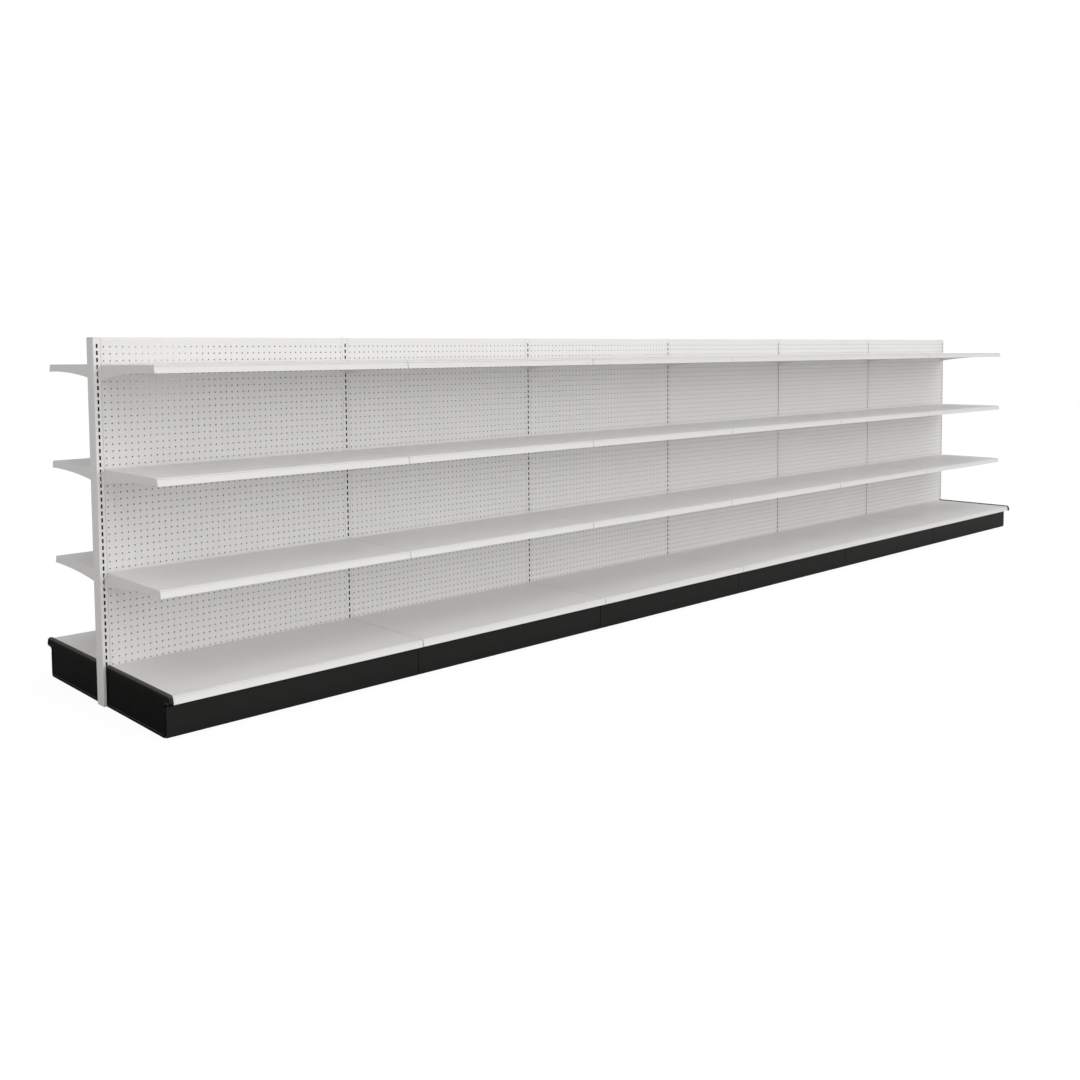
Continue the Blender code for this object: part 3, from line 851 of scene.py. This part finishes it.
# --- back boards and their rails ----------------------------------------------
def board(side, bay):
    """Flat perforated board: one hole per cell of the peg grid, plain cells along its bottom and
    top.
    """
    edge = BAY / 2 - POST_HALF - 0.0004
    face = -WALL_LOW.y - 0.0003
    across = (np.arange(PEGS_ACROSS) - (PEGS_ACROSS - 1) / 2) * PEG_PITCH
    between = (across[:-1] + across[1:]) / 2
    lines_u = np.concatenate([[-edge], between, [edge]])
    top = HEIGHT - 0.004
    low = WALL_LOW.z + 0.010
    rows = math.floor((HEIGHT - FIRST_PEG_DROP - low - 0.008) / PEG_RISE)
    up = HEIGHT - FIRST_PEG_DROP - PEG_RISE * np.arange(rows, -1, -1)
    lines_v = np.concatenate([[low], up - PEG_RISE / 2, [up[-1] + PEG_RISE / 2, top]])
    lines_v[1] = max(lines_v[1], low + 0.002)
    holed = np.ones((len(lines_u) - 1, len(lines_v) - 1), bool)
    holed[:, [0, -1]] = False
    heights = np.concatenate([[0.0], up, [0.0]])

    def plan(u, w):
        """Straight along the board, w out from its face."""
        return np.stack([u, np.full_like(u, -(face + w))], 1)

    points, outer, inside, rims = perforated(
        plan, lines_u, lines_v, across, heights, holed, eight_sided(PEG_RADIUS), BOARD_SHEET
    )
    surface = on_side((points, outer + inside + rims), side, BAY_X[bay])
    indices = [0] * len(outer) + [1] * (len(inside) + len(rims))
    return surface, indices


def rail_section(half, spine, rim, radius, steps):
    """U section across both boards: a spine from half to -half with a leg at each end."""
    path = [(half, rim), (half, spine), (-half, spine), (-half, rim)]
    return sheet(bent(path, radius, steps), RAIL_SHEET)


def build_back_walls():
    """Two boards per bay between posts, held by a U rail over their tops and one under them."""
    half = BAY / 2 - POST_HALF - 0.0006
    depth = -WALL_LOW.y + 0.0004
    rail_top = HEIGHT - 0.0012
    rail = rail_section(depth, rail_top, rail_top - RAIL_HEIGHT, 0.0030, 4)
    sill = rail_section(-depth, WALL_LOW.z, WALL_LOW.z + SILL_HEIGHT, 0.0025, 3)
    for bay, x in enumerate(BAY_X):
        node_name = f"back_wall_{bay + 1}"
        for side in ("front", "back"):
            surface, indices = board(side, bay)
            add_piece(f"board_{side}_{bay + 1}", surface, [BOARD_WHITE, BOARD_CORE], [node_name],
                      indices=indices)
        for label, section in (("top_rail", rail), ("bottom_rail", sill)):
            surface = swept(section, x - half, x + half)
            add_piece(f"{label}_{bay + 1}", surface, WHITE_COAT, [node_name])


# --- shelves ------------------------------------------------------------------
def build_shelves():
    """Pan, ticket channel and two brackets per shelf; outer brackets of the end bays are inset."""
    half = BAY / 2 - HALF_JOINT
    inner = half - BRACKET_SHEET - 0.0002
    line = pan_path(-(FACE + PAN_GAP), SHELF_FRONT, 0.0, PAN_SKIRT)
    strip = ticket_section(SHELF_FRONT, 0.0)
    hooked = hooked_bracket(-half)
    set_in = inset_bracket(-half)
    for side in ("front", "back"):
        for bay, x in enumerate(BAY_X):
            low_end = bay == (0 if side == "front" else BAYS - 1)
            high_end = bay == (BAYS - 1 if side == "front" else 0)
            left = END_INSET * low_end
            right = END_INSET * high_end
            start = -inner + left
            end = inner - right
            pan = fence_pan(line, SHELF_FRONT, start, end)
            brace = stiffener(SHELF_FRONT, 0.0, start + 0.001, end - 0.001)
            channel = swept(strip, -half + left + 0.0011, half - right - 0.0011)
            brackets = (
                set_in if low_end else hooked,
                in_mirror(set_in if high_end else hooked),
            )
            for level, top in enumerate(SHELF_TOP):
                place = f"{side}_{bay + 1}_{level + 1}"
                body = f"shelf_{place}"
                for label, surface, finish in (
                    ("pan", pan, WHITE_COAT),
                    ("stiffener", brace, WHITE_COAT),
                    ("ticket_channel", channel, TICKET_WHITE),
                    ("bracket_left", brackets[0], WHITE_COAT),
                    ("bracket_right", brackets[1], WHITE_COAT),
                ):
                    add_piece(f"{label}_{place}", on_side(surface, side, x, top), finish, [body],
                              body=body)


# --- base ---------------------------------------------------------------------
def bay_span(side, bay, low, high):
    """Start and end of a base piece about the middle of its bay, with open joints at the posts."""
    start = max(POST_X[bay] + OPEN_JOINT, low) - BAY_X[bay]
    end = min(POST_X[bay + 1] - OPEN_JOINT, high) - BAY_X[bay]
    return (start, end) if side == "front" else (-end, -start)


def build_decks():
    """Deck pan, stiffener and ticket channel per bay and side."""
    line = pan_path(-(FACE + 0.0012), DECK_LOW.y, DECK_HIGH.z, DECK_SKIRT)
    strip = ticket_section(DECK_LOW.y, DECK_HIGH.z)
    for side in ("front", "back"):
        for bay, x in enumerate(BAY_X):
            start, end = bay_span(side, bay, DECK_LOW.x, DECK_HIGH.x)
            brace = stiffener(DECK_LOW.y, DECK_HIGH.z, start + 0.001, end - 0.001)
            for label, surface, finish in (
                ("deck", fence_pan(line, DECK_LOW.y, start, end), WHITE_COAT),
                ("deck_stiffener", brace, WHITE_COAT),
                ("deck_channel", swept(strip, start + 0.0002, end - 0.0002), TICKET_WHITE),
            ):
                add_piece(f"{label}_{side}_{bay + 1}", on_side(surface, side, x), finish,
                          [f"base_deck_{side}"])


def build_kickplates():
    """A bent kickplate per bay, and a flat strap behind each joint between two of them. The strap's
    near-black finish is painted shade: it makes each open joint a dark line.
    """
    face = KICK_LOW.y
    flange = KICK_HIGH.y
    low = KICK_LOW.z
    high = KICK_HIGH.z
    path = [(flange, high), (face, high), (face, low), (flange, low)]
    section = sheet(bent(path, 0.0018, 4), KICK_SHEET)
    near = face + 0.0035
    far = face + 0.0047
    strap_low = low + 0.003
    strap_high = high - 0.003
    strap = plate(
        [(near, strap_low), (far, strap_low), (far, strap_high), (near, strap_high)],
        -STRAP_HALF, STRAP_HALF,
    )
    for side in ("front", "back"):
        for bay, x in enumerate(BAY_X):
            kick = swept(section, *bay_span(side, bay, KICK_LOW.x, KICK_HIGH.x))
            add_piece(f"kick_{side}_{bay + 1}", on_side(kick, side, x), BLACK_COAT,
                      [f"kickplate_{side}"])
        for number, x in enumerate(POST_X[1:-1]):
            # Near-black strap behind the joint: painted shade inside the open joint.
            add_piece(f"kick_strap_{side}_{number + 2}", on_side(strap, side, x),
                      BLACK_MOULDED, [f"kickplate_{side}"])


def cover_runs():
    """The cover's side outline in runs: points, matching points of the sunk panel, share of the
    rolled edge, reach of the rim along X and thickness of the skin there."""
    rear = COVER_HIGH.y
    top = COVER_HIGH.z
    nose = COVER_LOW.y
    low = COVER_LOW.z
    kick = KICK_LOW.y - 0.0015
    chin = DECK_LOW.z - 0.0040
    wide = COVER_HIGH.x - COVER_LOW.x
    thin = 0.0075
    brow = nose + 0.0203
    in_rear = rear - 0.015
    in_top = top - 0.028
    in_front = kick + 0.012
    in_low = low + 0.011
    round_in = 0.010
    cut = 0.004
    wide_round = 0.016
    nose_round = 0.011
    foot = 0.014
    shin = chin - 0.019
    jog_in = in_rear - 0.0005

    def line(start, end, count):
        """Evenly spaced points from start towards end, the end left to the next run."""
        return np.linspace(start, end, count, endpoint=False)

    corner_in = (in_front + round_in, in_top - round_in)
    shared = arc(corner_in, round_in, 90, 180, 36)
    fading = np.linspace(wide, thin, 12)
    runs = [
        (line((rear, low), (rear, top - cut), 12), line((in_rear, in_low), (in_rear, in_top), 12),
         0.0, thin, 0.0005),
        (line((rear, top - cut), (rear - cut, top), 2),
         line((in_rear, in_top), (jog_in, in_top), 2), 0.3, wide, 0.0050),
        (line((rear - cut, top), (brow, top), 24),
         line((jog_in, in_top), (corner_in[0], in_top), 24), 1.0, wide, 0.0056),
        (arc((brow, top - wide_round), wide_round, 90, 165, 11), shared[:12], 1.0, wide, 0.0039),
        (arc((nose + nose_round, chin + nose_round), nose_round, 165, 270, 11), shared[12:24],
         1.0, wide, 0.0020),
        (arc((kick - wide_round, chin - wide_round), wide_round, 90, 0, 11), shared[24:36],
         0.5, fading, 0.0012),
        (line((kick, shin), (kick, low + foot), 12),
         line(shared[36], (in_front, in_low + foot), 12), 0.0, thin, 0.0005),
        (arc((kick + foot, low + foot), foot, 180, 270, 7),
         arc((in_front + foot, in_low + foot), foot, 180, 270, 7), 0.0, thin, 0.0005),
        (line((kick + foot + 0.003, low), (rear - 0.002, low), 20),
         line((in_front + foot + 0.003, in_low), (in_rear - 0.002, in_low), 20), 0.0, thin, 0.0005),
    ]
    outer = np.concatenate([run[0] for run in runs])
    panel = np.concatenate([run[1] for run in runs])
    roll, reach, skin = (
        np.concatenate([np.broadcast_to(run[k], len(run[0])) for run in runs]) for k in (2, 3, 4)
    )
    return outer, panel, roll, reach, skin


def end_cover():
    """Front cover of the left end. Rings run from the sunk panel over the rolled edge to the rim
    on the deck and back inside; each ring's depth and X place is the roll's where the roll share
    is 1, the plain rounded edge's where it is 0, and in proportion between them."""
    outer, panel, roll, reach, skin = cover_runs()
    if outline_area(outer) < 0:
        outer, panel, roll, reach, skin = (a[::-1] for a in (outer, panel, roll, reach, skin))
    x = COVER_LOW.x
    border = 0.0012
    groove = 0.0036
    field = 0.0028
    bulge = ((0.0128, groove), (0.0118, 0.0030), (0.0106, 0.0012), (0.0090, 0.0002), (0.0072, 0.0),
             (0.0053, 0.0006), (0.0035, 0.0020), (0.0018, 0.0042), (0.0006, 0.0068), (0.0, 0.0095))
    plain = ((0.0078, border), (0.0072, border), (0.0066, border), (0.0060, border),
             (0.0050, border), (0.0036, border), (0.0020, border), (0.0009, border + 0.0002),
             (0.0002, border + 0.0009), (0.0, border + 0.0020))
    centre = panel.mean(axis=0)
    flat, floor = (centre + (panel - centre) * share for share in (0.970, 0.985))
    rings = [
        placed(flat, x + field),
        placed(floor, x + field),
        placed(panel, x + np.where(roll > 0.4, field, border)),
    ]
    for (roll_in, roll_x), (flat_in, flat_x) in zip(bulge, plain):
        depth = roll * roll_in + (1 - roll) * flat_in
        along = roll * roll_x + (1 - roll) * flat_x
        rings.append(placed(inset(outer, depth), x + along))
    rings.append(placed(outer, x + np.maximum(reach - 0.0016, 0.0060)))
    rings.append(placed(inset(outer, np.minimum(skin, 0.0005)), x + reach - 0.0004))
    rings.append(placed(inset(outer, np.minimum(skin, 0.0012)), x + reach))
    rings.append(placed(inset(outer, skin), x + reach))
    rings.append(placed(inset(outer, skin), x + 0.0074))
    return facing_out(*lofted(np.stack(rings)))


def build_end_covers():
    """The left front cover, its mirror image, and both turned half round for the back."""
    left = end_cover()
    right = in_mirror(left)
    for place, surface, side in (
        ("left_front", left, "front"),
        ("right_front", right, "front"),
        ("left_back", right, "back"),
        ("right_back", left, "back"),
    ):
        add_piece(f"base_cover_{place}", on_side(surface, side), BLACK_MOULDED,
                  [f"end_cover_{place}"])


# --- studio -------------------------------------------------------------------
def build_camera():
    """Eye height just above the top shelf, left of the near end, looking along the front."""
    data = bpy.data.cameras.new("camera")
    data.sensor_width = 36.0
    data.lens = 37.11
    data.shift_x = 0.0336
    data.shift_y = -0.1087
    data.clip_end = 100.0
    camera = bpy.data.objects.new("camera", data)
    heading = math.radians(47.65)
    dip = math.radians(3.59)
    roll = math.radians(-0.49)
    level = Vector((math.cos(heading), math.sin(heading), 0.0))
    rise = Vector((0.0, 0.0, 1.0))
    right = Vector((math.sin(heading), -math.cos(heading), 0.0))
    forward = level * math.cos(dip) - rise * math.sin(dip)
    up = rise * math.cos(dip) + level * math.sin(dip)
    tilted_right = right * math.cos(roll) + up * math.sin(roll)
    tilted_up = up * math.cos(roll) - right * math.sin(roll)
    turn = Matrix((tilted_right, tilted_up, -forward)).transposed().to_4x4()
    place = Vector((POST_X[0] - 1.8489, -4.5316, 1.4638))
    camera.matrix_world = Matrix.Translation(place) @ turn
    bpy.context.scene.collection.objects.link(camera)
    bpy.context.scene.camera = camera


def add_sun(name, direction, strength, softness):
    """A soft far light; direction points from the object to the light."""
    data = bpy.data.lights.new(name, "SUN")
    data.energy = strength
    data.angle = math.radians(softness)
    lamp = bpy.data.objects.new(name, data)
    lamp.matrix_world = Vector(direction).to_track_quat("Z", "Y").to_matrix().to_4x4()
    bpy.context.scene.collection.objects.link(lamp)


def build_studio():
    """Even pale surroundings and two wide far lights, one low in front and one overhead."""
    scene = bpy.context.scene
    scene.view_settings.view_transform = "Standard"
    scene.view_settings.look = "None"
    world = bpy.data.worlds.new("studio")
    world.use_nodes = True
    tree = world.node_tree
    tree.nodes.clear()
    fill = node(tree, "ShaderNodeBackground")
    fill.inputs["Color"].default_value = (1.0, 0.990, 0.978, 1.0)
    fill.inputs["Strength"].default_value = 0.48
    seen = node(tree, "ShaderNodeBackground")
    seen.inputs["Color"].default_value = (1.0, 1.0, 1.0, 1.0)
    seen.inputs["Strength"].default_value = 1.05
    path = node(tree, "ShaderNodeLightPath")
    mix = node(tree, "ShaderNodeMixShader")
    out = node(tree, "ShaderNodeOutputWorld")
    wire(tree, [
        (path.outputs["Is Camera Ray"], mix.inputs["Fac"]),
        (fill.outputs[0], mix.inputs[1]),
        (seen.outputs[0], mix.inputs[2]),
        (mix.outputs[0], out.inputs["Surface"]),
    ])
    scene.world = world
    add_sun("front_bank", (0.30, -0.90, 0.20), 1.08, 50)
    add_sun("overhead_bank", (0.10, -0.35, 1.0), 0.80, 80)


def build_floor():
    """A wide floor: near white to the eye with a faint contact shade, a soft grey to the object."""
    size = 60.0
    points = np.array([(-size, -size, 0), (size, -size, 0), (size, size, 0), (-size, size, 0)])
    mesh = fill_mesh("studio_floor", points, [np.array([[0, 1, 2, 3]])])
    material = bpy.data.materials.new("studio_floor")
    material.use_nodes = True
    tree = material.node_tree
    shader = tree.nodes["Principled BSDF"]
    shader.inputs["Base Color"].default_value = (0.62, 0.62, 0.61, 1.0)
    shader.inputs["Roughness"].default_value = 0.9
    shader.inputs["Specular IOR Level"].default_value = 0.1
    glow = node(tree, "ShaderNodeEmission")
    glow.inputs["Strength"].default_value = 1.04
    shaded = node(tree, "ShaderNodeMixShader")
    shaded.inputs["Fac"].default_value = 0.90
    seen = node(tree, "ShaderNodeMixShader")
    path = node(tree, "ShaderNodeLightPath")
    lift = node(tree, "ShaderNodeBsdfDiffuse")
    lift.inputs["Color"].default_value = (1.0, 1.0, 1.0, 1.0)
    wire(tree, [
        (lift.outputs[0], shaded.inputs[1]),
        (glow.outputs[0], shaded.inputs[2]),
        (path.outputs["Is Camera Ray"], seen.inputs["Fac"]),
        (shader.outputs[0], seen.inputs[1]),
        (shaded.outputs[0], seen.inputs[2]),
        (seen.outputs[0], tree.nodes["Material Output"].inputs["Surface"]),
    ])
    mesh.materials.append(material)
    floor = bpy.data.objects.new("studio_floor", mesh)
    bpy.context.scene.collection.objects.link(floor)


build_camera()
build_studio()
build_floor()
build_posts()
build_base_legs()
build_back_walls()
build_shelves()
build_decks()
build_kickplates()
build_end_covers()
